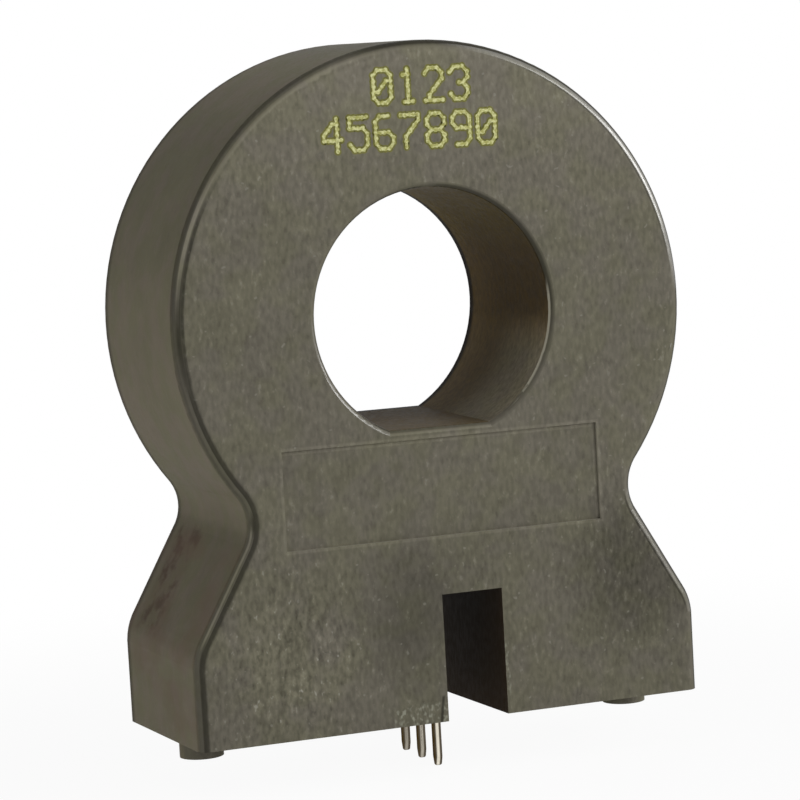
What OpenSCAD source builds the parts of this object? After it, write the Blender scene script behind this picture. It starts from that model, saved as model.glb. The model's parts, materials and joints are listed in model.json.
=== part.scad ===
// Ring-type linear current sensor for a printed circuit board.
// The conductor runs through the window along Y, the marked face looks to -Y,
// and the feet stand on the board at Z = 0. The origin lies midway between the feet.

/* [Housing] */
// Thickness of the housing from rear rim to marked face
depth = 12.7; // [11:0.1:16]
// Outer diameter of the ring
ring_d = 30.4; // [28:0.1:34]
// Width of the base
base_w = 30.3; // [28:0.1:36]
// Height of the upright sides of the base
side_h = 5.4; // [4:0.1:7]
// Lean of the base shoulders from upright, in degrees
shoulder_angle = 30; // [24:1:36]
// Radius of the hollow neck between shoulder and ring
neck_r = 2.5; // [1:0.1:4]
// Radius of the round corner between upright side and shoulder
hip_r = 3.5; // [2.5:0.1:5]
// Radius along the edge of the marked face
edge_r = 0.7; // [0.3:0.05:1]
// Thickness of the outer walls and of the slot walls
wall = 1.2; // [0.8:0.05:1.6]
// Thickness of the wall behind the marked face
front_wall = 1.3; // [1.1:0.05:2]
// Lean of the moulded walls, in degrees: outline, underside and bore widen towards the rear
draft = 1.2; // [0:0.1:2]

/* [Window] */
// Diameter of the conductor window
window_d = 14.2; // [12:0.1:15]
// How far the flat stands in from the round of the window
flat_lift = 0.8; // [0.2:0.05:1.2]
// Radius on the front rim of the window
rim_r = 0.4; // [0.2:0.05:0.8]
// Thickness of the tube wall round the window
window_wall = 1.2; // [0.8:0.05:1.6]

/* [Slot] */
// Width of the slot in the base
slot_w = 3.6; // [2:0.1:5]
// Offset of the slot from the middle of the base
slot_x = 1.3; // [0.8:0.05:3]
// Height of the slot
slot_h = 7.3; // [5:0.1:7.6]

/* [Panel] */
// Width of the sunk panel on the marked face
panel_w = 18.8; // [10:0.1:20]
// Height of the sunk panel
panel_h = 5.5; // [3:0.1:7]
// Distance from the window's flat down to the panel
panel_drop = 0.6; // [0.5:0.05:1.2]
// Depth of the sunk panel
panel_depth = 0.15; // [0.05:0.05:0.4]

/* [Feet] */
// Diameter of a foot
foot_d = 2.5; // [1.5:0.1:3.6]
// Height of a foot
foot_h = 1.3; // [0.4:0.1:2]
// Distance from the side of the base to the middle of a foot
foot_inset = 2.05; // [1.9:0.05:6]

/* [Core] */
// Room between the slot's ceiling and the core
core_rise = 1.1; // [0.4:0.1:3]
// Thickness of potting over the core
core_cover = 2; // [0.5:0.1:4]
// Room between the core and the walls beside it
core_clear = 0.5; // [0.2:0.05:0.8]
// Room between the sensor element and the faces of the core's gap
gap_clear = 0.8; // [0.2:0.05:1.2]

/* [Sensor element] */
// Thickness of the ceramic plate
plate_t = 0.65; // [0.4:0.05:0.8]
// Room on the ceramic plate beyond the outer leads
plate_margin = 1.24; // [0.4:0.02:1.6]
// Room between the top of the plate and the window tube
plate_clear = 0.3; // [0.1:0.05:0.6]
// Width of the sensing chip along the row of leads
chip_w = 3; // [1.5:0.1:5]
// Height of the sensing chip
chip_h = 2.4; // [1.5:0.1:3.6]
// Thickness of the sensing chip
chip_t = 0.7; // [0.4:0.05:1]

/* [Leads] */
// Distance between neighbouring leads
lead_pitch = 2.54; // [2:0.01:2.8]
// Width of a lead along the row
lead_w = 0.64; // [0.4:0.01:0.9]
// Thickness of a lead
lead_t = 0.4; // [0.25:0.01:0.6]
// Distance from the slot's left wall to the leads
lead_off = 0.45; // [0.15:0.05:0.8]
// Length of a lead below the board plane
lead_reach = 1.8; // [1:0.1:5]
// Length of lead that lies on the plate
lead_lap = 1.6; // [1:0.1:2]
// Width of the lead's tip
lead_tip_w = 0.3; // [0.2:0.01:0.4]
// Length of the taper at the lead's tip
lead_taper = 0.5; // [0.2:0.05:0.9]
// Room round a lead where it passes the slot's ceiling
lead_clear = 0.1; // [0.05:0.01:0.2]

/* [Potting] */
// Distance from the rear rim down to the potting's surface
potting_recess = 0.4; // [0.1:0.05:1]
// Bond line between the potting and what it holds
bond = 0.03; // [0.02:0.01:0.08]

/* [Hidden] */
$fn = 96;

housing_colour = "#605d52";
core_colour = "#4a4a4d";
plate_colour = "#e8e4da";
chip_colour = "#2a2a2c";
lead_colour = "#b9b6ad";
potting_colour = "#25241f";

// Overlap of joined volumes and overshoot of cuts
lap = 1;

// Arcs reach this far past the edges that they join, so that they cross cleanly.
overlap = 0.005;

// Places along the row, counted in pitches from its middle
lead_places = [-1, 0, 1];

ring_r = ring_d / 2;
base_half = base_w / 2;
window_r = window_d / 2;
window_flat = window_r - flat_lift;
front = depth / 2;
rear = -depth / 2;
cavity_floor = front - front_wall;
ceiling_top = slot_h + wall;
slot_left = slot_x - slot_w / 2;

// Where a leaning wall lies at a depth, against its place halfway between the faces
function lean(place) = -place * tan(draft);

// The core fills the room between the window tube and the ring's wall.
core_ri = window_r + window_wall + core_clear;
core_ro = ring_r + lean(cavity_floor) - wall - core_clear;
core_h = depth - front_wall - potting_recess - core_cover;

// The core sits over the slot, which sets the height of the window axis.
axis_h = ceiling_top + core_rise + core_ro;
axis_pt = [0, axis_h];

// The shoulder runs up along slope_up, and slope_out points away from the housing.
slope_up = [-sin(shoulder_angle), cos(shoulder_angle)];
slope_out = [cos(shoulder_angle), sin(shoulder_angle)];
corner_pt = [base_half, side_h];

// Centre of the round corner, tangent to the upright side and the shoulder
hip_pt = [base_half - hip_r, side_h - hip_r * tan(shoulder_angle / 2)];

// Centre of the neck, tangent to the shoulder and the ring
neck_across = slope_out * (corner_pt - axis_pt) + neck_r;
neck_along = sqrt(pow(ring_r + neck_r, 2) - pow(neck_across, 2));
neck_pt = axis_pt + neck_across * slope_out - neck_along * slope_up;
ring_from = atan2(neck_pt.y - axis_h, neck_pt.x);
neck_sweep = shoulder_angle - ring_from;

// The arc on the rim stops just short of the face, so the face meets it at a slight angle.
rim_sink = 0.97 * rim_r;

panel_mid = axis_h - window_flat - panel_drop - panel_h / 2;
foot_x = base_half - foot_inset;

// Leads and chip lie on one face of the plate, and the core's gap is centred on plate and chip.
plate_face = slot_left + lead_off;
plate_w = 2 * lead_pitch + lead_w + 2 * plate_margin;
plate_top = axis_h - window_flat - window_wall - plate_clear;
lead_top = ceiling_top + lead_lap;
chip_mid = (lead_top + plate_top) / 2;
gap_mid = plate_face + (chip_t - plate_t) / 2;
core_gap = plate_t + chip_t + 2 * gap_clear;

// Stands a body drawn lying on its back upright on the feet
module upright() {
    translate([0, 0, foot_h]) rotate([90, 0, 0]) children();
}

module both_sides() {
    children();
    mirror([1, 0, 0]) children();
}

// Section left of a leaning wall, from one depth to another, with its upper right corner rounded
module edge_section(reach, low, high, round) {
    bend = high - round;
    crest = lean(bend) - round;
    polygon([
        [-reach, low],
        [lean(low), low],
        [lean(bend), bend],
        [crest, bend],
        [crest, high],
        [-reach, high]
    ]);
    if (round > 0)
        translate([crest, bend]) intersection() {
            circle(r = round);
            square(round);
        }
}

// Everything left of a straight edge that runs along Y
module straight_run(from, to, low, high, round) {
    translate([0, to, 0]) rotate([90, 0, 0]) linear_extrude(to - from)
        edge_section(2 * base_w, low, high, round);
}

module side_run(inset, bottom, low, high, round) {
    translate([base_half - inset, 0, 0]) straight_run(bottom - lap, axis_h, low, high, round);
}

// Everything above the leaning underside of the base
module underside_run(bottom, low, high) {
    below = low - lap;
    above = high + lap;
    translate([-base_w, bottom, 0]) rotate([90, 0, 90]) linear_extrude(2 * base_w) polygon([
        [-lean(below), below],
        [-lean(above), above],
        [axis_h, above],
        [axis_h, below]
    ]);
}

// The slanted run turns about the plane of its top edge, so that the top stays level.
module shoulder_run(inset, low, high, round) {
    translate([0, 0, high]) translate(corner_pt - inset * slope_out) rotate(shoulder_angle)
        translate([0, 0, -high]) straight_run(-base_w, base_w, low - lap, high, round);
}

// Cuts the corner between upright side and shoulder to its radius
module hip_cut(inset, low, high, round) {
    turn_r = hip_r - inset + overlap;
    translate(hip_pt) difference() {
        translate([0, 0, low]) linear_extrude(high - low) polygon([
            [turn_r / 2, 0],
            [3 * hip_r, 0],
            3 * hip_r * slope_out,
            turn_r / 2 * slope_out
        ]);
        rotate_extrude() translate([turn_r, 0]) edge_section(0.75 * turn_r, low, high, round);
    }
}

// Fills the crease between shoulder and ring to its radius
module neck_fill(inset, low, high, round) {
    turn_r = neck_r + inset + overlap;
    translate(neck_pt) rotate_extrude(angle = neck_sweep, start = 180 + ring_from)
        translate([turn_r, 0]) mirror([1, 0]) edge_section(turn_r, low, high, round);
}

// Solid of the front outline, drawn in by inset, with its front edge rounded
module outline_block(inset, bottom, low, high, round) {
    translate(axis_pt) rotate_extrude() translate([ring_r - inset, 0])
        edge_section(ring_r - window_r / 2, low, high, round);
    difference() {
        intersection() {
            side_run(inset, bottom, low, high, round);
            mirror([1, 0, 0]) side_run(inset, bottom, low, high, round);
            shoulder_run(inset, low, high, round);
            mirror([1, 0, 0]) shoulder_run(inset, low, high, round);
            underside_run(bottom, low, high);
        }
        both_sides() hip_cut(inset, low, high, round);
    }
    both_sides() neck_fill(inset, low, high, round);
}

module window_section(grow) {
    translate(axis_pt) intersection() {
        circle(r = window_r + grow);
        translate([-ring_r, -window_flat - grow]) square(2 * ring_r);
    }
}

// Half section of the window's void, which flares at the front rim and takes a share of the lean
module flared_void(reach, share) {
    low = rear - lap;
    high = front + lap;
    mouth = reach + share * lean(front);
    polygon([
        [0, low],
        [reach + share * lean(low), low],
        [reach + share * lean(high), high],
        [0, high]
    ]);
    translate([0, front - rim_sink]) difference() {
        square([mouth + rim_r, rim_sink + lap]);
        translate([mouth + rim_r, 0]) circle(r = rim_r);
    }
}

// The bore leans and the flat lies level. Both flare alike, and the window is what they share.
module window_void() {
    translate([0, axis_h, 0]) intersection() {
        rotate_extrude() flared_void(window_r, 1);
        translate([-ring_r, 0, 0]) rotate([90, 0, 90]) linear_extrude(2 * ring_r) {
            mirror([1, 0]) flared_void(window_flat, 0);
            translate([0, rear - lap]) square([ring_r, depth + 2 * lap]);
        }
    }
}

module slot_section(grow) {
    translate([slot_left - grow, -lap]) square([slot_w + 2 * grow, slot_h + grow + lap]);
}

// Room between the outer walls, the window tube and the slot walls
module cavity(shrink, low, high) {
    difference() {
        outline_block(wall + shrink, wall + shrink, low, high, 0);
        translate([0, 0, low - lap]) linear_extrude(high - low + 2 * lap) {
            window_section(window_wall + shrink);
            slot_section(wall + shrink);
        }
    }
}

module core_body(grow) {
    upright() translate([0, axis_h, cavity_floor - core_h - grow]) difference() {
        linear_extrude(core_h + grow) difference() {
            circle(r = core_ro + grow);
            circle(r = core_ri - grow);
        }
        translate([gap_mid + grow - core_gap / 2, -ring_r, -lap])
            cube([core_gap - 2 * grow, ring_r, core_h + grow + 2 * lap]);
    }
}

// Block that stands on the plane height, from start along X, centred on the row of leads
module block(start, thick, broad, height, tall, grow) {
    translate([start - grow, -broad / 2 - grow, foot_h + height - grow])
        cube([thick + 2 * grow, broad + 2 * grow, tall + 2 * grow]);
}

module plate_body(grow) {
    block(plate_face - plate_t, plate_t, plate_w, ceiling_top, plate_top - ceiling_top, grow);
}

module chip_body(grow) {
    block(plate_face, chip_t, chip_w, chip_mid - chip_h / 2, chip_h, grow);
}

// Flat lead at its place in the row, from its tapered tip to its end on the plate
module lead_body(place, grow) {
    half_w = lead_w / 2 + grow;
    half_tip = lead_tip_w / 2;
    top = foot_h + lead_top + grow;
    translate([plate_face - grow, place * lead_pitch, 0]) rotate([90, 0, 90])
        linear_extrude(lead_t + 2 * grow) polygon([
            [-half_tip, -lead_reach],
            [half_tip, -lead_reach],
            [half_w, lead_taper - lead_reach],
            [half_w, top],
            [-half_w, top],
            [-half_w, lead_taper - lead_reach]
        ]);
}

module lead_hole(place) {
    translate([plate_face + lead_t / 2, slot_h + wall / 2, place * lead_pitch])
        cube([lead_t + 2 * lead_clear, wall + lap, lead_w + 2 * lead_clear], center = true);
}

// Moulded cup, open at the rear, with the window tube, the slot walls and the feet
module housing() {
    color(housing_colour) {
        upright() difference() {
            outline_block(0, 0, rear, front, edge_r);
            window_void();
            translate([0, 0, rear - lap]) linear_extrude(depth + 2 * lap) slot_section(0);
            cavity(0, rear - lap, cavity_floor);
            translate([0, panel_mid, front]) cube([panel_w, panel_h, 2 * panel_depth], center = true);
            for (place = lead_places) lead_hole(place);
        }
        both_sides() translate([foot_x, 0, 0]) cylinder(h = foot_h + wall / 2, d = foot_d);
    }
}

// Magnetic ring that seats on the inside of the marked face, with its gap at the foot
module core_ring() {
    color(core_colour) core_body(0);
}

// Ceramic plate that stands in the gap on the slot's ceiling
module hall_plate() {
    color(plate_colour) plate_body(0);
}

module hall_chip() {
    color(chip_colour) chip_body(0);
}

module lead(place) {
    color(lead_colour) lead_body(place, 0);
}

// Resin that fills the cup round the core, the plate and the lead ends
module potting() {
    color(potting_colour) difference() {
        upright() cavity(bond, rear + potting_recess, cavity_floor - bond);
        core_body(bond);
        plate_body(bond);
        chip_body(bond);
        for (place = lead_places) lead_body(place, bond);
    }
}

housing();
core_ring();
hall_plate();
hall_chip();
lead(lead_places[0]);  // lead_supply
lead(lead_places[1]);  // lead_common
lead(lead_places[2]);  // lead_output
potting();
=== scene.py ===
"""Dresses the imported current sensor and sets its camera, lamps and floor.

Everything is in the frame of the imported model: metres, X to the right of the
marked face, -Y out of that face along the window, Z up from the board. Sizes
written in millimetres are turned into metres with MM.
"""

import json
import math
import random

import bmesh
import bpy
from mathutils import Matrix, Vector


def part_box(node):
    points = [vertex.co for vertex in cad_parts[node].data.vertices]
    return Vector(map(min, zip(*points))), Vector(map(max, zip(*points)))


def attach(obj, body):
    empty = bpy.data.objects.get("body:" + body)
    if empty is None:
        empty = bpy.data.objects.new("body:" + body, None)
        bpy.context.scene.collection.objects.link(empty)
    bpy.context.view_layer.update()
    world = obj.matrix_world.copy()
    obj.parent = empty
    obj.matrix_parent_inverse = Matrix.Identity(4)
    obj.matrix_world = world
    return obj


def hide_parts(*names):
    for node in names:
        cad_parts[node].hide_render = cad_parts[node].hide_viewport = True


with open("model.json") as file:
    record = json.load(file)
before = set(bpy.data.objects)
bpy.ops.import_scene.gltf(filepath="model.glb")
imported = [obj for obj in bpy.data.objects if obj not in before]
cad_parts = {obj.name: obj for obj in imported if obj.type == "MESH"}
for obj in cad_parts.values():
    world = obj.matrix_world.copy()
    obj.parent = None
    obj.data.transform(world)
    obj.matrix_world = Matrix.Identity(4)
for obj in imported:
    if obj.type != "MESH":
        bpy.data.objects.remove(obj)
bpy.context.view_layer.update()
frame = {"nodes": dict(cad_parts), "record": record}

MM = 0.001
nodes = frame["nodes"]
mounts = {mount["name"]: mount for mount in frame["record"]["mounts"]}

# Camera, from a fit of the photograph's outline
CAMERA_TARGET = Vector((0.035, 0, 19.042)) * MM
CAMERA_DISTANCE = 178.64 * MM
CAMERA_AZIMUTH = -20.509
CAMERA_ELEVATION = 5.236
CAMERA_ROLL = -3.265
CAMERA_LENS = 140.13
CAMERA_SENSOR = 36.0
CAMERA_NEAREST = 0.01

# Lamps: azimuth and elevation in degrees, distance and side in metres, share of white given
LAMPS = {
    "key": (44, 18, 0.40, 0.20, 0.43),
    "rim": (72, 17, 0.40, 0.13, 0.24),
    "top": (0, 55, 0.18, 0.12, 0.10),
    "left": (-95, 6, 0.40, 0.25, 0.27),
}
AMBIENT = 0.22

# Floor: half side in metres, glow as seen and as a light, and its fade to white in millimetres
FLOOR_HALF = 1.5
FLOOR_GLOW = 0.94
FLOOR_BOUNCE = 0.28
FLOOR_FADE = (25, 75)

# Places on the housing, in millimetres
AXIS_Z = mounts["conductor_window"]["pos_m"][2] / MM
FACE_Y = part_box("housing")[0].y / MM
REAR_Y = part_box("housing")[1].y / MM
EDGE_RADIUS = 0.7
SLOT_LEFT = -0.5
SLOT_RIGHT = 3.1
SLOT_TOP = 8.6
PANEL_HALF = 9.4
PANEL_LOW = 11.9
PANEL_HIGH = 17.4
PANEL_LIP = 0.1
PANEL_BROAD_LIP = 0.3
FOOT_TOP = 1.3
HIP_Z = 7.9
HIP_FADE = 1.2
NECK_Z = 13.0
NECK_FADE = 3.0
LEFT_SIDE = (-6.0, -1.0)

# Distances from the window's axis, in millimetres: bore and rim lie within, the outside beyond
BORE_REACH = 7.9
RIM_REACH = 8.3
OUTER_REACH = 9.5

# Soft regions of the marked face, one pale and two of painted shade: middle and half size in X and Z, in
# millimetres
PALE_LEFT = ((-9.5, 6.0), (4.5, 5.5))
PAINTED_SHADE_RIGHT = ((11.5, 9.0), (4.5, 5.0))
PAINTED_SHADE_MIDDLE = ((-2.4, 7.6), (3.4, 4.2))

# Heights between which the housing's painted light and shade, grain and gloss change, in millimetres
PANEL_TOP_LIGHT = (10.0, 15.0)
CROWN_TOP_LIGHT = (27.0, 40.0)
CROWN_GRAIN = (24.0, 34.0)
EDGE_GLOSS = (12.0, 20.0)
OUTER_SHADE_DARKENING = (20.0, 28.0)
INNER_SHADE_SHIFT = (20.0, 24.0)
INNER_SHADE_END = (29.0, 34.0)
HIGHLIGHT_START = (18.0, 24.0)
HIGHLIGHT_CREST = (30.0, 34.0)

# Depths between which the walls' painted shade and light and their stain change, in millimetres
WINDOW_SHADE_AND_STAIN = (-4.0, 4.5)
CEILING_SHADOW = (-5.5, -2.0)
SILL_SHADOW = (-2.0, 5.0)
WINDOW_REAR_SHADE = (REAR_Y - 0.9, REAR_Y - 0.35)
OUTER_REAR_SHADE = (REAR_Y - 0.8, REAR_Y - 0.2)
PANEL_WALL = (FACE_Y + 0.16, FACE_Y + 0.2)

# Reach of the marks of wear, in millimetres
STAIN_Y = (1.6, 4.6)
STAIN_Z = (7.5, 12.0)
RUST_Z = (2.5, 12.0)
SCUFF_X = (SLOT_LEFT - 3.1, SLOT_LEFT - 0.1)
SCUFF_Z = (1.2, 2.4)
NICK_X = (SLOT_RIGHT, SLOT_RIGHT + 0.2)
NICK_Z = (3.0, 5.2)
CRACK_X = -1.12
CRACK_Z = (1.4, 2.8)
CRACK_LEAN = 0.13

# Leads, in millimetres, with the reach of the painted highlight down their front, and the tint of their
# metal at a glancing angle
LEADS = ("lead_supply", "lead_common", "lead_output")
LEAD_ROUNDING = 0.11
LEAD_HIGHLIGHT_STRIPE = (0.03, 0.14)
LEAD_HIGHLIGHT_FADE = (-2.6, 0.6)
LEAD_GLANCE = (0.35, 0.32, 0.28, 1.0)
WELD_DISTANCE = 0.001
FLAT_ANGLE = math.radians(1)
BEVEL_STEPS = 4

# Print on the marked face, in millimetres: rows of digits with their middle and height
PRINT_ROWS = (
    ("0123", -0.09, 36.90),
    ("4567890", -0.85, 34.40),
)
PRINT_SEED = 4
GLYPH_PITCH = 1.51
DOT_PITCH_X = 0.255
DOT_PITCH_Z = 0.297
DOT_RADIUS = 0.114
DOT_STRAY = 0.012
DOT_SIDES = 10
BAR_HALF = 0.084
INK_HEIGHT = 0.012
INK_SPREAD = 0.10
GLYPHS = {
    "0": (".###.", "#...#", "#..##", "#.#.#", "##..#", "#...#", ".###."),
    "1": ("..#..", ".##..", "..#..", "..#..", "..#..", "..#..", ".###."),
    "2": (".###.", "#...#", "....#", "...#.", "..#..", ".#...", "#####"),
    "3": (".###.", "#...#", "....#", "..##.", "....#", "#...#", ".###."),
    "4": ("...#.", "..##.", ".#.#.", "#..#.", "#####", "...#.", "...#."),
    "5": ("#####", "#....", "####.", "....#", "....#", "#...#", ".###."),
    "6": (".###.", "#....", "#....", "####.", "#...#", "#...#", ".###."),
    "7": ("#####", "....#", "...#.", "..#..", ".#...", ".#...", ".#..."),
    "8": (".###.", "#...#", "#...#", ".###.", "#...#", "#...#", ".###."),
    "9": (".###.", "#...#", "#...#", ".####", "....#", "....#", ".###."),
}
GLYPH_MIDDLE = (2, 3)


def srgb(red, green, blue):
    """Linear colour of an sRGB colour that is given in steps of 255."""

    def linear(step):
        share = step / 255
        if share <= 0.04045:
            return share / 12.92
        return ((share + 0.055) / 1.055) ** 2.4

    return (linear(red), linear(green), linear(blue), 1.0)


# Colours of the housing, among them painted shade and painted highlights
OLIVE = srgb(105, 102, 87)
VIOLET_GREY = srgb(105, 101, 90)
WARM_OLIVE = srgb(105, 101, 81)
WARM_GREY = srgb(110, 102, 87)
GLINT = srgb(164, 162, 151)
SPECK = srgb(176, 174, 162)
WALL_SHADE_BROWN = srgb(90, 73, 42)
CEILING_SHADE_BROWN = srgb(96, 80, 32)
REAR_SHADE_BLACK = srgb(16, 12, 8)
SLOT_SHADE_BROWN = srgb(52, 41, 28)
RIM_HIGHLIGHT = srgb(205, 200, 180)
SHOULDER_BROWN = srgb(84, 64, 52)
BLOTCH_BROWN = srgb(62, 43, 36)
RUST = srgb(102, 84, 72)
PANEL_PAINTED_LIGHT = srgb(170, 166, 150)
SCUFF = srgb(176, 177, 160)
CRACK = srgb(44, 42, 36)


def direction(azimuth, elevation):
    """Unit vector from the object towards an azimuth and elevation in degrees."""
    turn = math.radians(azimuth)
    rise = math.radians(elevation)
    return Vector(
        (
            math.sin(turn) * math.cos(rise),
            -math.cos(turn) * math.cos(rise),
            math.sin(rise),
        )
    )


def add_object(name, data):
    """New object in the scene, at the origin."""
    piece = bpy.data.objects.new(name, data)
    bpy.context.scene.collection.objects.link(piece)
    return piece


class Finish:
    """A material under construction, with short calls for the nodes used here.

    Places and grain sizes are in millimetres.
    """

    def __init__(self, name):
        self.material = bpy.data.materials.new(name)
        self.material.use_nodes = True
        self.tree = self.material.node_tree
        self.shader = self.tree.nodes["Principled BSDF"]
        coordinates = self.tree.nodes.new("ShaderNodeTexCoord")
        per_metre = (1 / MM, 1 / MM, 1 / MM)
        self.place = self.vector("MULTIPLY", coordinates.outputs["Object"], per_metre)
        self.x, self.y, self.z = self.axes(self.place)
        self.nx, self.ny, self.nz = self.axes(coordinates.outputs["Normal"])

    def feed(self, socket, value):
        if isinstance(value, bpy.types.NodeSocket):
            self.tree.links.new(value, socket)
        else:
            socket.default_value = value

    def set(self, **values):
        """Sets sockets of the shader, with underscores for the spaces in their names."""
        for name, value in values.items():
            self.feed(self.shader.inputs[name.replace("_", " ")], value)

    def axes(self, vector):
        node = self.tree.nodes.new("ShaderNodeSeparateXYZ")
        self.feed(node.inputs[0], vector)
        return node.outputs[0], node.outputs[1], node.outputs[2]

    def vector(self, operation, first, second=(0, 0, 0)):
        node = self.tree.nodes.new("ShaderNodeVectorMath")
        node.operation = operation
        self.feed(node.inputs[0], first)
        self.feed(node.inputs[1], second)
        return node.outputs["Value" if operation == "LENGTH" else "Vector"]

    def math(self, operation, first, second=0.0):
        node = self.tree.nodes.new("ShaderNodeMath")
        node.operation = operation
        self.feed(node.inputs[0], first)
        self.feed(node.inputs[1], second)
        return node.outputs[0]

    def size(self, value):
        return self.math("ABSOLUTE", value)

    def times(self, first, *others):
        for other in others:
            first = self.math("MULTIPLY", first, other)
        return first

    def plus(self, first, *others):
        for other in others:
            first = self.math("ADD", first, other)
        return first

    def step(self, value, start, end, low=0.0, high=1.0):
        """Smooth step of value from low at start to high at end."""
        node = self.tree.nodes.new("ShaderNodeMapRange")
        node.interpolation_type = "SMOOTHSTEP"
        for socket, given in enumerate((value, start, end, low, high)):
            self.feed(node.inputs[socket], given)
        return node.outputs["Result"]

    def until(self, value, start, end):
        """One up to start, and from there a smooth fall to zero at end."""
        return self.step(value, end, start)

    def outside(self, mask):
        """One where the mask is zero, and zero where it is one."""
        return self.step(mask, 1.0, 0.0)

    def between(self, value, low, high, soft):
        """One from low to high, and zero further than soft outside them."""
        return self.times(self.step(value, low - soft, low), self.step(value, high + soft, high))

    def blob(self, middle, size):
        """Soft spot on the marked face, from its middle and half size in X and Z."""
        depth = 3.0
        away = self.vector("SUBTRACT", self.place, (middle[0], FACE_Y, middle[1]))
        away = self.vector("DIVIDE", away, (size[0], depth, size[1]))
        return self.step(self.vector("LENGTH", away), 1.3, 0.2)

    def mix(self, share, first, second, blend="MIX"):
        node = self.tree.nodes.new("ShaderNodeMix")
        node.data_type = "RGBA"
        node.blend_type = blend
        self.feed(node.inputs["Factor"], share)
        colours = [s for s in node.inputs if s.type == "RGBA"]
        self.feed(colours[0], first)
        self.feed(colours[1], second)
        return next(s for s in node.outputs if s.type == "RGBA")

    def painted(self, colour, paint, *shares):
        """The colour with paint over it, by the product of the shares."""
        return self.mix(self.times(*shares), colour, paint)

    def shaded(self, colour, tone):
        """The colour times a tone, where one leaves it as it is."""
        shade = self.tree.nodes.new("ShaderNodeCombineXYZ")
        for socket in range(3):
            self.feed(shade.inputs[socket], tone)
        return self.mix(1.0, colour, shade.outputs[0], "MULTIPLY")

    def toned(self, colour, *gains):
        """The colour made lighter by the sum of the gains, or darker where it is negative."""
        return self.shaded(colour, self.plus(*gains, 1.0))

    def noise(self, grain, detail=2.0, along=(1, 1, 1), rough=0.5):
        """Noise whose spots are about grain millimetres wide."""
        node = self.tree.nodes.new("ShaderNodeTexNoise")
        self.feed(node.inputs["Vector"], self.vector("MULTIPLY", self.place, along))
        self.feed(node.inputs["Scale"], 1 / grain)
        self.feed(node.inputs["Detail"], detail)
        self.feed(node.inputs["Roughness"], rough)
        return node.outputs["Fac"]

    def bump(self, height, strength, depth):
        node = self.tree.nodes.new("ShaderNodeBump")
        self.feed(node.inputs["Height"], height)
        self.feed(node.inputs["Strength"], strength)
        self.feed(node.inputs["Distance"], depth * MM)
        return node.outputs["Normal"]


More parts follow.
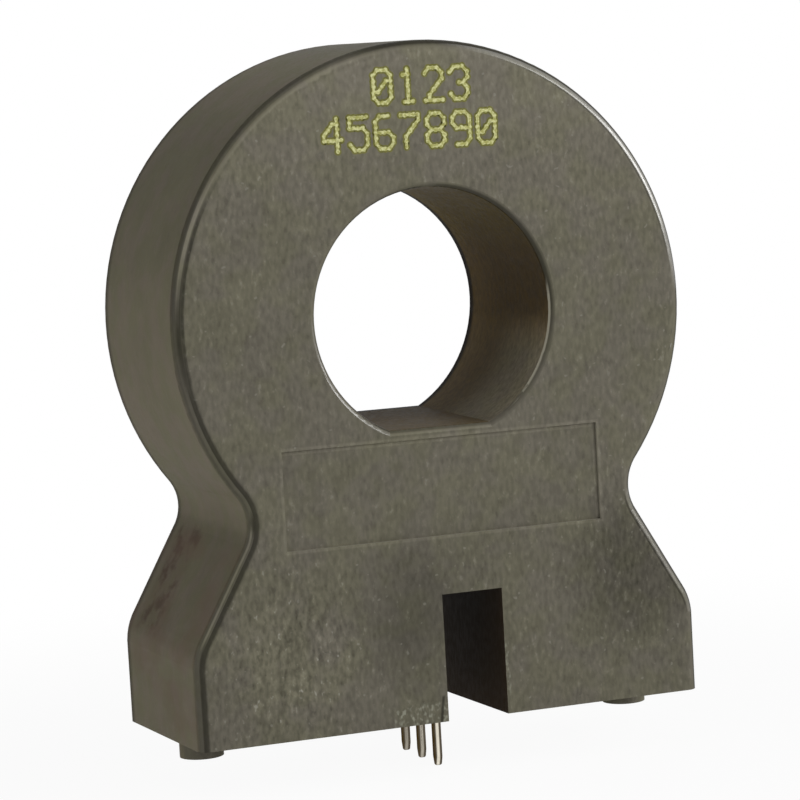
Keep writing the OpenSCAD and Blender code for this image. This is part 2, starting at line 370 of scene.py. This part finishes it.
class HousingFinish(Finish):
    """Dark olive-grey plastic, laid on in layers over masks of the housing's regions, with painted light
    and shade among the layers.
    """

    def __init__(self):
        super().__init__("housing_plastic")
        self.find_regions()
        self.find_edges()
        self.streak = self.noise(0.21, 0.6, (1, 1, 0.46), 0.5)
        self.stroke = self.noise(0.34, 2.0, (1, 1, 0.6), 0.65)
        colour = self.shaded(self.ground(), self.tone())
        layers = (
            self.specks,
            self.window_wall,
            self.slot_wall,
            self.left_edge,
            self.other_edges,
            self.window_rim,
            self.left_stains,
            self.feet,
            self.panel,
            self.scuffs,
            self.crack,
        )
        for layer in layers:
            colour = layer(colour)
        roughness = self.step(self.streak, 0.3, 0.7, 0.46, 0.58)
        bump_strength = self.step(self.rounded, 0.0, 0.5, 0.3, 0.04)
        self.set(
            Base_Color=colour,
            Roughness=self.plus(roughness, self.times(self.rounded, -0.28)),
            IOR=1.6,
            Specular_IOR_Level=self.plus(self.gloss(), self.times(self.front, 0.013), 0.009),
            Normal=self.bump(self.noise(0.10, 2.0), bump_strength, 0.02),
        )

    def find_regions(self):
        """The marked face, the window, the slot and the outside walls."""
        self.outward = self.size(self.ny)
        self.front = self.step(self.ny, -0.9, -0.98)
        self.side = self.step(self.outward, 0.5, 0.2)
        from_axis = self.vector("SUBTRACT", self.place, (0, 0, AXIS_Z))
        self.reach = self.vector("LENGTH", self.vector("MULTIPLY", from_axis, (1, 0, 1)))
        self.in_window = self.step(self.reach, BORE_REACH + 0.3, BORE_REACH)
        self.bore = self.times(self.in_window, self.side)
        across_slot = self.between(self.x, SLOT_LEFT - 0.03, SLOT_RIGHT + 0.03, 0.02)
        below_top = self.step(self.z, SLOT_TOP + 0.06, SLOT_TOP + 0.03)
        self.in_slot = self.times(across_slot, below_top)
        self.off_slot = self.outside(self.in_slot)
        self.outer = self.times(self.step(self.reach, OUTER_REACH - 0.5, OUTER_REACH), self.off_slot)
        self.left = self.times(self.side, self.outer, self.step(self.nx, -0.1, -0.4))
        self.pale = self.times(self.front, self.blob(*PALE_LEFT))
        # Painted shade: darker soft regions of the marked face on the right and in the middle
        self.painted_shade_right = self.times(self.front, self.blob(*PAINTED_SHADE_RIGHT))
        self.painted_shade_middle = self.times(self.front, self.blob(*PAINTED_SHADE_MIDDLE))

    def find_edges(self):
        """The rounded edges. turned grows from zero at the wall to one at the marked face."""
        off_wall = self.step(self.outward, 0.05, 0.25)
        off_face = self.step(self.outward, 0.9995, 0.985)
        off_feet = self.step(self.z, FOOT_TOP - 0.05, FOOT_TOP + 0.05)
        self.rounded = self.times(off_wall, off_face, off_feet)
        self.turned = self.plus(self.times(self.y, -1 / EDGE_RADIUS), 1 + FACE_Y / EDGE_RADIUS)
        leftmost = self.until(self.x, *LEFT_SIDE)
        self.edge = self.times(self.rounded, self.outer, leftmost)
        self.far = self.times(self.rounded, self.outer, self.outside(leftmost))
        rising = self.step(self.nz, 0.0, 0.08)
        self.upper_right = self.times(self.far, self.step(self.nx, 0.04, 0.16), rising)
        by_window = self.step(self.reach, RIM_REACH + 0.3, RIM_REACH)
        self.rim = self.times(self.rounded, by_window, self.off_slot)
        self.rim_left = self.times(self.rim, self.step(self.nx, 0.0, 0.08))
        self.rim_right = self.times(self.rim, self.step(self.nx, 0.02, -0.10))

    def ground(self):
        """Patches of olive and of violet grey, with the left side a little warmer."""
        patch = self.step(self.noise(1.9, 2.0), 0.38, 0.64)
        colour = self.mix(patch, OLIVE, VIOLET_GREY)
        return self.painted(colour, self.mix(patch, WARM_OLIVE, WARM_GREY), self.left, 0.85)

    def tone(self):
        """Pale regions and regions of painted shade, painted light towards the top of the marked face,
        painted light and shade on the left side by its slope, slow mottle, and short upright strokes of
        grain.
        """
        tone = self.plus(
            self.times(self.pale, 0.10),
            self.times(self.painted_shade_right, -0.35),
            self.times(self.painted_shade_middle, -0.26),
        )
        # Painted light: the marked face paler towards its top
        facing = self.step(self.ny, -0.80, -0.93)
        upwards = self.plus(
            self.step(self.z, *PANEL_TOP_LIGHT, 0.0, 0.06),
            self.step(self.z, *CROWN_TOP_LIGHT, 0.0, 0.28),
        )
        # Painted light and shade on the left side by slope: darker where it leans half up, paler where
        # it faces up, and paler still where it faces down
        leaning = self.plus(
            self.times(self.between(self.nz, 0.35, 0.65, 0.3), -0.20),
            self.step(self.nz, 0.75, 0.95, 0.0, 0.14),
            self.step(self.nz, 0.0, -0.4, 0.07, 0.15),
        )
        tone = self.plus(tone, self.times(facing, upwards), self.times(self.left, leaning), 1.0)

        mottle = self.noise(3.5, 2.0)
        pit = self.noise(0.5, 2.0, (1, 1, 0.8))
        pitted = self.plus(
            self.step(pit, 0.44, 0.34, 0.0, -0.20),
            self.step(pit, 0.56, 0.68, 0.0, 0.22),
        )
        weight = self.plus(
            self.times(self.front, self.step(self.z, *CROWN_GRAIN, 0.55, 0.75)),
            self.times(self.pale, 0.75),
            self.times(self.painted_shade_middle, -0.30),
            0.25,
        )
        return self.plus(
            tone,
            self.step(mottle, 0.3, 0.7, -0.04, 0.04),
            self.times(self.step(self.streak, 0.25, 0.75, -0.14, 0.14), weight),
            self.times(self.step(self.stroke, 0.53, 0.70), weight, 0.20),
            self.times(self.step(self.stroke, 0.45, 0.28), weight, -0.17),
            self.times(self.pale, pitted),
        )

    def specks(self, colour):
        """Pale specks where the strokes are strongest, and a few elsewhere on the face."""
        share = self.plus(self.times(self.pale, 0.6), 0.15)
        colour = self.painted(colour, GLINT, self.step(self.stroke, 0.66, 0.74), share, self.front)
        return self.painted(colour, SPECK, self.front, self.step(self.noise(0.26, 0.0), 0.80, 0.88), 0.2)

    def window_wall(self, colour):
        """Painted shade in the window with a warm brown stain, painted light on the lower right wall,
        painted shade under the ceiling and on the sill, and a painted black shade line at the rear.
        """
        # Painted shade with a brown stain, fullest on walls that face sideways or down, and thinner on
        # upward walls near the front
        near_front = self.until(self.y, *WINDOW_SHADE_AND_STAIN)
        bare = self.step(near_front, 0.0, 1.0, 0.85, 0.25)
        shade_cover = self.plus(
            self.step(self.nz, 0.0, 0.45, 1.0, bare),
            self.step(self.nz, 0.85, 0.97, 0.0, 0.55),
        )
        brown = self.mix(self.step(self.nz, -0.3, -0.8), WALL_SHADE_BROWN, CEILING_SHADE_BROWN)
        colour = self.painted(colour, brown, self.bore, shade_cover, 0.95)

        # Painted light on the lower right wall; painted shade under the ceiling near the front and on
        # the sill towards the rear
        painted_light_low_wall = self.times(
            self.bore,
            self.between(self.nz, 0.25, 0.8, 0.2),
            self.step(self.nx, 0.1, -0.1),
            self.step(near_front, 0.0, 1.0, 0.2, 1.0),
        )
        ceiling = self.times(
            self.bore,
            self.step(self.nz, 0.1, -0.1),
            self.until(self.y, *CEILING_SHADOW),
        )
        sill = self.times(
            self.in_window,
            self.step(self.nz, 0.9, 0.97),
            self.step(self.y, *SILL_SHADOW),
        )
        colour = self.toned(
            colour,
            self.times(painted_light_low_wall, 0.95),
            self.times(ceiling, -0.25),
            self.times(sill, -0.40),
        )
        rubbed = self.plus(
            self.step(self.streak, 0.25, 0.75, -0.14, 0.14),
            self.step(self.stroke, 0.3, 0.7, -0.16, 0.16),
        )
        colour = self.toned(colour, self.times(self.bore, rubbed))
        # Painted shade: a black line along the rear edge of the window
        return self.painted(colour, REAR_SHADE_BLACK, self.bore, self.step(self.y, *WINDOW_REAR_SHADE), 0.95)

    def slot_wall(self, colour):
        # Painted shade: the slot's walls dark brown
        return self.painted(colour, SLOT_SHADE_BROWN, self.in_slot, self.side)

    def left_edge(self, colour):
        """Painted shade lines along the left rounded edge, and a painted highlight where it leans
        upwards.
        """
        turned, z = self.turned, self.z
        # Painted highlight: a pale line in three parts, narrow, broad and at the crest
        narrow = self.times(
            self.between(turned, 0.60, 0.67, 0.07),
            self.between(z, HIP_Z, NECK_Z, HIP_FADE),
            1.6,
        )
        broad = self.times(
            self.between(turned, 0.72, 0.85, 0.06),
            self.step(z, *HIGHLIGHT_START),
            self.until(z, *HIGHLIGHT_CREST),
            2.0,
        )
        crest = self.times(self.between(turned, 0.82, 0.92, 0.07), self.step(z, *HIGHLIGHT_CREST), 0.9)
        painted_highlight = self.times(self.plus(narrow, broad, crest), self.step(self.nz, -0.02, 0.16), 0.45)

        # Painted shade: dark lines outside and inside the painted highlight, and a dark band where the
        # edge stands upright
        outer_shade_line = self.times(
            self.step(turned, 0.74, 0.52),
            self.step(z, NECK_Z, NECK_Z + NECK_FADE, 0.7, 1.0),
            self.step(z, *OUTER_SHADE_DARKENING, -0.25, -0.40),
        )
        inner_low = self.times(self.between(turned, 0.84, 0.95, 0.05), self.until(z, *INNER_SHADE_SHIFT))
        inner_high = self.times(
            self.step(turned, 0.88, 0.95),
            self.step(z, *INNER_SHADE_SHIFT),
            self.until(z, *INNER_SHADE_END),
        )
        inner_shade_line = self.times(self.plus(inner_low, inner_high), -0.56)

        below_hip = self.until(z, HIP_Z - HIP_FADE, HIP_Z)
        level = self.math("MAXIMUM", self.step(self.size(self.nz), 0.22, 0.02), below_hip)
        onset = self.step(below_hip, 0.0, 1.0, 0.60, 0.72)
        flank_tone = self.step(below_hip, 0.0, 1.0, -0.26, -0.14)
        upright = self.times(
            level,
            self.step(turned, onset, 0.82, flank_tone, -0.58),
            self.step(turned, 0.98, 0.90),
        )
        darkest_shade = self.math("MINIMUM", self.math("MINIMUM", outer_shade_line, inner_shade_line), upright)
        return self.toned(colour, self.times(self.edge, self.plus(darkest_shade, painted_highlight)))

    def other_edges(self, colour):
        """Painted shade lines along the rest of the rounded edge, and a painted shade line along the
        rear edge on the left.
        """
        colour = self.toned(
            colour,
            self.times(self.far, self.between(self.turned, 0.30, 0.68, 0.16), -0.62),
            self.times(self.upper_right, self.step(self.turned, 0.93, 0.96), -0.45),
        )
        return self.toned(colour, self.times(self.left, self.step(self.y, *OUTER_REAR_SHADE), -0.5))

    def window_rim(self, colour):
        """Painted shade on the upper right of the rim with a thin painted highlight below it, a painted
        shade line on the left, and a painted highlight at the foot.
        """
        shadow = self.times(self.step(self.outward, 0.97, 0.75), self.step(self.nz, 0.35, -0.1))
        colour = self.toned(colour, self.times(self.rim_right, shadow, -0.38))
        # Painted highlight: a thin pale line on the right of the rim
        highlight_line = self.between(self.outward, 0.25, 0.5, 0.15)
        highlight_part = self.between(self.nz, -0.05, 0.55, 0.15)
        colour = self.painted(colour, RIM_HIGHLIGHT, self.rim_right, highlight_line, highlight_part, 0.85)
        colour = self.toned(colour, self.times(self.rim_left, self.step(self.outward, 0.70, 0.55), -0.5))
        at_foot = self.times(self.step(self.nz, 0.15, 0.35), self.step(self.size(self.nx), 0.2, 0.1))
        foot_highlight = self.step(self.outward, 0.70, 0.88, -0.12, 0.35)
        return self.toned(colour, self.times(self.rim, at_foot, foot_highlight))

    def left_stains(self, colour):
        """Red-brown and dark blotches on the left shoulder, and a cloud of rust on the left."""
        shoulder = self.times(
            self.left,
            self.between(self.z, *STAIN_Z, 1.0),
            self.between(self.y, *STAIN_Y, 1.0),
        )
        blotch = self.step(self.noise(0.8, 3.0, (1, 0.55, 0.7)), 0.42, 0.68)
        colour = self.painted(colour, SHOULDER_BROWN, shoulder, 0.2)
        colour = self.painted(colour, BLOTCH_BROWN, shoulder, blotch, 0.6)
        cloud = self.step(self.noise(2.4, 2.0, (1, 0.5, 1)), 0.42, 0.62)
        return self.painted(colour, RUST, self.left, self.between(self.z, *RUST_Z, 1.5), cloud, 0.35)

    def feet(self, colour):
        """Painted light: feet a touch lighter than the base."""
        return self.shaded(colour, self.step(self.z, FOOT_TOP - 0.2, FOOT_TOP - 0.4, 1.0, 1.02))

    def panel(self, colour):
        """Painted light on the walls of the sunk panel, and a painted highlight around its edge that
        also lightens the lip's shadow. The lip is broader on the right and top.
        """
        soft = 0.12
        near = self.times(
            self.between(self.x, -PANEL_HALF - PANEL_LIP, PANEL_HALF + PANEL_LIP, soft),
            self.between(self.z, PANEL_LOW - PANEL_LIP, PANEL_HIGH + PANEL_LIP, soft),
        )
        inside = self.times(
            self.between(self.x, -PANEL_HALF + PANEL_LIP, PANEL_HALF - PANEL_BROAD_LIP, soft),
            self.between(self.z, PANEL_LOW + PANEL_LIP, PANEL_HIGH - PANEL_BROAD_LIP, soft),
        )
        shallow = self.until(self.y, *PANEL_WALL)
        # Painted light on the walls, and a painted highlight around the edge over the lip's shadow
        colour = self.painted(colour, PANEL_PAINTED_LIGHT, self.side, shallow, near, 0.7)
        return self.toned(colour, self.times(self.front, near, self.outside(inside), 0.22))

    def scuffs(self, colour):
        """Rough pale specks above the leads and beside the slot."""
        above_leads = self.times(
            self.between(self.x, *SCUFF_X, 0.2),
            self.between(self.z, *SCUFF_Z, 0.3),
        )
        by_slot = self.times(
            self.between(self.x, *NICK_X, 0.12),
            self.between(self.z, *NICK_Z, 0.8),
            0.7,
        )
        place = self.math("MAXIMUM", above_leads, by_slot)
        rough = self.step(self.noise(0.20, 1.0, (1, 1, 0.7)), 0.44, 0.78)
        return self.painted(colour, SCUFF, self.front, place, rough, 0.52)

    def crack(self, colour):
        """Short crack beside the slot's lower left corner, leaning a little."""
        aside = self.plus(self.times(self.z, -CRACK_LEAN), self.x, -CRACK_X)
        thin = self.step(self.size(aside), 0.12, 0.04)
        return self.painted(colour, CRACK, self.front, thin, self.between(self.z, *CRACK_Z, 0.2), 0.75)

    def gloss(self):
        """Gloss of the rounded edges that face the light."""
        lit_rim = self.times(
            self.rim_left,
            self.step(self.nz, -0.05, 0.05),
            self.between(self.outward, 0.68, 0.90, 0.05),
            0.45,
        )
        lit_edge = self.times(
            self.upper_right,
            self.between(self.turned, 0.72, 0.93, 0.03),
            self.step(self.z, *EDGE_GLOSS, 0.25, 1.0),
        )
        return self.times(self.math("MAXIMUM", lit_edge, lit_rim), 0.95)


def potting_finish():
    """Dark glossy resin with dust, pits and a slight ripple."""
    f = Finish("potting_resin")
    cloud = f.noise(5.0, 3.0)
    colour = f.mix(f.step(cloud, 0.35, 0.65), srgb(29, 27, 22), srgb(48, 45, 37))
    dust = f.step(f.noise(0.25, 1.0), 0.66, 0.76)
    colour = f.painted(colour, srgb(120, 118, 108), dust, 0.35)
    pit = f.step(f.noise(1.0, 0.0), 0.24, 0.17)
    colour = f.painted(colour, srgb(12, 11, 9), pit, 0.6)
    ripple = f.plus(f.noise(6.0, 1.0), f.times(f.noise(1.2, 2.0), 0.15), f.times(pit, -0.25))
    f.set(
        Base_Color=colour,
        Roughness=f.step(cloud, 0.3, 0.7, 0.14, 0.30),
        Specular_IOR_Level=0.22,
        Normal=f.bump(ripple, 0.5, 0.5),
    )
    return f.material


def lead_finish():
    """Drawn tinned metal with a painted highlight down its front, fainter towards the rear."""
    f = Finish("tinned_lead")
    drawn = f.noise(0.06, 2.0, (1, 1, 0.08))
    # Painted highlight: a bright stripe down the front of each lead, fainter towards the rear
    stripe = f.times(f.step(f.ny, -0.35, -0.8), f.between(f.x, *LEAD_HIGHLIGHT_STRIPE, 0.06))
    highlight_fade = f.step(f.y, *LEAD_HIGHLIGHT_FADE, 1.0, 0.36)
    colour = f.painted(srgb(78, 70, 58), srgb(236, 229, 212), stripe, highlight_fade)
    colour = f.painted(colour, srgb(138, 131, 117), f.step(drawn, 0.35, 0.7, 0.0, 0.25))
    f.set(
        Base_Color=colour,
        Metallic=1.0,
        Specular_Tint=LEAD_GLANCE,
        Roughness=f.step(drawn, 0.3, 0.7, 0.22, 0.38),
        Normal=f.bump(drawn, 0.2, 0.01),
    )
    return f.material


def plain_finish(name, dark, light, grain, roughness):
    """Cloudy matt finish between two colours."""
    f = Finish(name)
    cloud = f.noise(grain, 3.0)
    f.set(
        Base_Color=f.mix(cloud, dark, light),
        Roughness=f.step(cloud, 0.3, 0.7, roughness - 0.05, roughness + 0.05),
        Normal=f.bump(cloud, 0.2, 0.02),
    )
    return f.material


def ink_finish(name, dark, light):
    """Uneven ink between two colours."""
    f = Finish(name)
    cloud = f.noise(0.16, 2.0)
    f.set(
        Base_Color=f.mix(f.step(cloud, 0.35, 0.65), dark, light),
        Roughness=f.step(cloud, 0.3, 0.7, 0.5, 0.65),
        Specular_IOR_Level=0.1,
    )
    return f.material


def glyph_strokes(text, middle, height):
    """Ends of the short strokes of one row of print, in millimetres on the marked face."""
    middle_column, middle_row = GLYPH_MIDDLE
    for index, digit in enumerate(text):
        glyph_x = middle + (index - (len(text) - 1) / 2) * GLYPH_PITCH
        dots = {
            (column, row)
            for row, line in enumerate(GLYPHS[digit])
            for column, mark in enumerate(line)
            if mark == "#"
        }
        for column, row in sorted(dots):
            for aside, down in ((1, 0), (0, 1), (1, 1), (-1, 1)):
                after = (column + aside, row + down)
                corner = (column + aside, row) in dots or (column, row + down) in dots
                if after in dots and not (aside and down and corner):
                    yield [
                        Vector(
                            (
                                glyph_x + (x - middle_column) * DOT_PITCH_X,
                                height + (middle_row - z) * DOT_PITCH_Z,
                            )
                        )
                        for x, z in ((column, row), after)
                    ]


def ink_outlines(spread):
    """Outlines of bars of ink with a dot on each end, all a little off their place and size."""
    draw = random.Random(PRINT_SEED)
    turns = [2 * math.pi * side / DOT_SIDES for side in range(DOT_SIDES)]
    outlines = []
    for text, middle, row_z in PRINT_ROWS:
        for start, end in glyph_strokes(text, middle, row_z):
            half = BAR_HALF * draw.uniform(0.85, 1.15) + spread
            aside = (end - start).orthogonal().normalized() * half
            outlines.append([start - aside, end - aside, end + aside, start + aside])
            for place in (start, end):
                centre = place + Vector((draw.gauss(0, DOT_STRAY), draw.gauss(0, DOT_STRAY)))
                radius = DOT_RADIUS * draw.uniform(0.85, 1.12) + spread
                outlines.append([centre + radius * Vector((math.cos(t), math.sin(t))) for t in turns])
    return outlines


def print_strokes(name, spread, height, material):
    """Ink raised from its outlines, each to its own height, so that no two tops lie in one plane."""
    outlines = ink_outlines(spread)
    corners, faces = [], []
    for index, outline in enumerate(outlines):
        first, count = len(corners), len(outline)
        for lift in (0, height * (1 + index / len(outlines))):
            corners += [(x * MM, (FACE_Y - lift) * MM, z * MM) for x, z in outline]
        faces.append(tuple(range(first + count, first + 2 * count)))
        faces.append(tuple(reversed(range(first, first + count))))
        for side in range(count):
            after = (side + 1) % count
            faces.append((first + side, first + after, first + count + after, first + count + side))
    mesh = bpy.data.meshes.new(name)
    mesh.from_pydata(corners, [], faces)
    mesh.materials.append(material)
    piece = add_object(name, mesh)
    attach(piece, "root")


def rounded_lead(node, material):
    """Piece with the lead's form and rounded edges, which stands for the plain solid."""
    plain = nodes[node].data
    corners = [vertex.co for vertex in plain.vertices]
    mesh = bpy.data.meshes.new(node + "_rounded")
    mesh.from_pydata(corners, [], [tuple(face.vertices) for face in plain.polygons])
    shape = bmesh.new()
    shape.from_mesh(mesh)
    bmesh.ops.remove_doubles(shape, verts=shape.verts, dist=WELD_DISTANCE * MM)
    bmesh.ops.dissolve_limit(shape, angle_limit=FLAT_ANGLE, verts=shape.verts, edges=shape.edges)
    bmesh.ops.bevel(
        shape,
        geom=shape.edges,
        offset=LEAD_ROUNDING * MM,
        segments=BEVEL_STEPS,
        profile=0.5,
        affect="EDGES",
    )
    shape.to_mesh(mesh)
    shape.free()
    mesh.shade_smooth()
    mesh.materials.append(material)
    piece = add_object(mesh.name, mesh)
    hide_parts(node)
    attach(piece, "root")


def dress(node, material):
    nodes[node].material_slots[0].material = material


def dress_part():
    dress("housing", HousingFinish().material)
    dress("potting", potting_finish())
    metal = lead_finish()
    for lead in LEADS:
        rounded_lead(lead, metal)
    ferrite = plain_finish("core_ferrite", srgb(60, 60, 62), srgb(84, 84, 86), 0.5, 0.6)
    ceramic = plain_finish("plate_ceramic", srgb(222, 218, 206), srgb(240, 237, 228), 0.6, 0.6)
    resin = plain_finish("chip_resin", srgb(34, 34, 36), srgb(48, 48, 50), 0.2, 0.6)
    dress("core_ring", ferrite)
    dress("hall_plate", ceramic)
    dress("hall_chip", resin)
    ink = ink_finish("marking_ink", srgb(170, 169, 98), srgb(216, 216, 158))
    stain = ink_finish("marking_stain", srgb(110, 108, 54), srgb(124, 122, 70))
    print_strokes("marking_print", 0.0, INK_HEIGHT, ink)
    print_strokes("marking_spread", INK_SPREAD, INK_HEIGHT / 3, stain)


def add_lamp(name, azimuth, elevation, distance, side, share):
    """Square lamp that gives a white face turned to it this share of full white."""
    light = bpy.data.lights.new(name, "AREA")
    light.size = side
    light.energy = share * math.pi**2 * distance**2
    towards = direction(azimuth, elevation)
    piece = add_object(name, light)
    piece.location = CAMERA_TARGET + towards * distance
    piece.rotation_euler = towards.to_track_quat("Z", "Y").to_euler()


def seen_rays(tree):
    """One for camera, mirror and glass rays, which see the background as plain white."""
    path = tree.nodes.new("ShaderNodeLightPath")
    total = path.outputs["Is Camera Ray"]
    for kind in ("Is Glossy Ray", "Is Transmission Ray"):
        either = tree.nodes.new("ShaderNodeMath")
        either.operation = "MAXIMUM"
        tree.links.new(total, either.inputs[0])
        tree.links.new(path.outputs[kind], either.inputs[1])
        total = either.outputs[0]
    return total


def add_world():
    """White to the rays that see it, and a low even light to the rest."""
    world = bpy.data.worlds.new("studio")
    world.use_nodes = True
    tree = world.node_tree
    background = tree.nodes["Background"]
    background.inputs["Color"].default_value = (1, 1, 1, 1)
    level = tree.nodes.new("ShaderNodeMapRange")
    level.inputs["To Min"].default_value = AMBIENT
    level.inputs["To Max"].default_value = 1.0
    tree.links.new(seen_rays(tree), level.inputs["Value"])
    tree.links.new(level.outputs["Result"], background.inputs["Strength"])
    bpy.context.scene.world = world


def paper_finish():
    """White paper. It glows for the rays that see the background, fully so away from the
    object, and keeps the object's shadow near it."""
    f = Finish("floor_paper")
    away = f.vector("LENGTH", f.vector("MULTIPLY", f.place, (1, 1, 0)))
    glow_share = f.times(f.step(away, *FLOOR_FADE, FLOOR_GLOW, 1.0), seen_rays(f.tree))
    glow_share = f.math("MAXIMUM", glow_share, FLOOR_BOUNCE)
    f.set(
        Base_Color=f.mix(f.noise(0.4, 2.0), (0.88, 0.88, 0.88, 1), (0.92, 0.92, 0.92, 1)),
        Roughness=0.9,
        Specular_IOR_Level=0.0,
    )
    glow = f.tree.nodes.new("ShaderNodeEmission")
    blend = f.tree.nodes.new("ShaderNodeMixShader")
    f.feed(blend.inputs["Fac"], glow_share)
    f.feed(blend.inputs[1], f.shader.outputs[0])
    f.feed(blend.inputs[2], glow.outputs[0])
    f.feed(f.tree.nodes["Material Output"].inputs["Surface"], blend.outputs[0])
    return f.material


def add_floor(height):
    """Square of paper that the tips of the leads touch."""
    around = ((-1, -1), (1, -1), (1, 1), (-1, 1))
    corners = [(x * FLOOR_HALF, y * FLOOR_HALF, height) for x, y in around]
    mesh = bpy.data.meshes.new("floor")
    mesh.from_pydata(corners, [], [(0, 1, 2, 3)])
    mesh.materials.append(paper_finish())
    floor = add_object("floor", mesh)


def add_camera():
    back = direction(CAMERA_AZIMUTH, CAMERA_ELEVATION)
    right = (-back).cross(Vector((0, 0, 1))).normalized()
    up = right.cross(-back)
    roll = math.radians(CAMERA_ROLL)
    across = math.cos(roll) * right + math.sin(roll) * up
    upward = math.cos(roll) * up - math.sin(roll) * right
    turn = Matrix((across, upward, back)).transposed().to_4x4()
    data = bpy.data.cameras.new("camera")
    data.lens = CAMERA_LENS
    data.sensor_width = CAMERA_SENSOR
    data.clip_start = CAMERA_NEAREST
    camera = add_object("camera", data)
    camera.matrix_world = Matrix.Translation(CAMERA_TARGET + back * CAMERA_DISTANCE) @ turn
    bpy.context.scene.camera = camera


dress_part()
for lamp_name, settings in LAMPS.items():
    add_lamp(lamp_name, *settings)
add_world()
add_floor(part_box("lead_common")[0].z)
add_camera()
bpy.context.scene.view_settings.view_transform = "Standard"
